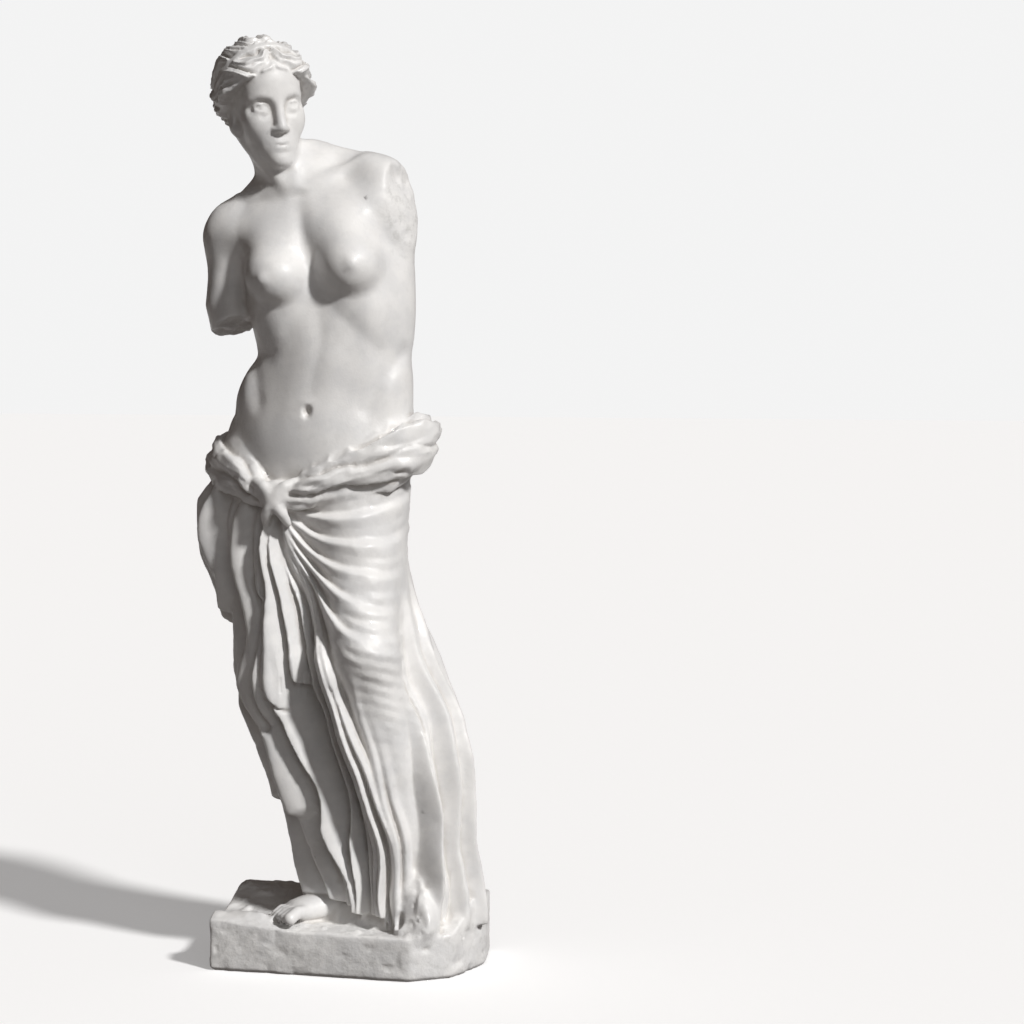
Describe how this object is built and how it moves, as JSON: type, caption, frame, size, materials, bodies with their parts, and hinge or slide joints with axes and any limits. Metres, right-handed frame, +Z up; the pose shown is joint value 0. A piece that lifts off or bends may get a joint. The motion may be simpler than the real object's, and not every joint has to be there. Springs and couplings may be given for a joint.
{
  "type": "goddess statue",
  "caption": "Half-draped classical goddess with broken arms standing on a low plinth, a table ornament cast in one piece of white plaster.",
  "frame": {"origin": "centre of the plinth's flat underside", "axes": "+Z up, -Y to the figure's front, +X to the figure's own left"},
  "size_m": [0.0936, 0.0552, 0.291],
  "materials": {
    "plaster": "white cast plaster, matt to satin, pitted on the plinth and the breaks"
  },
  "bodies": {
    "root": {"goddess_statue": "plaster"}
  },
  "joints": []
}
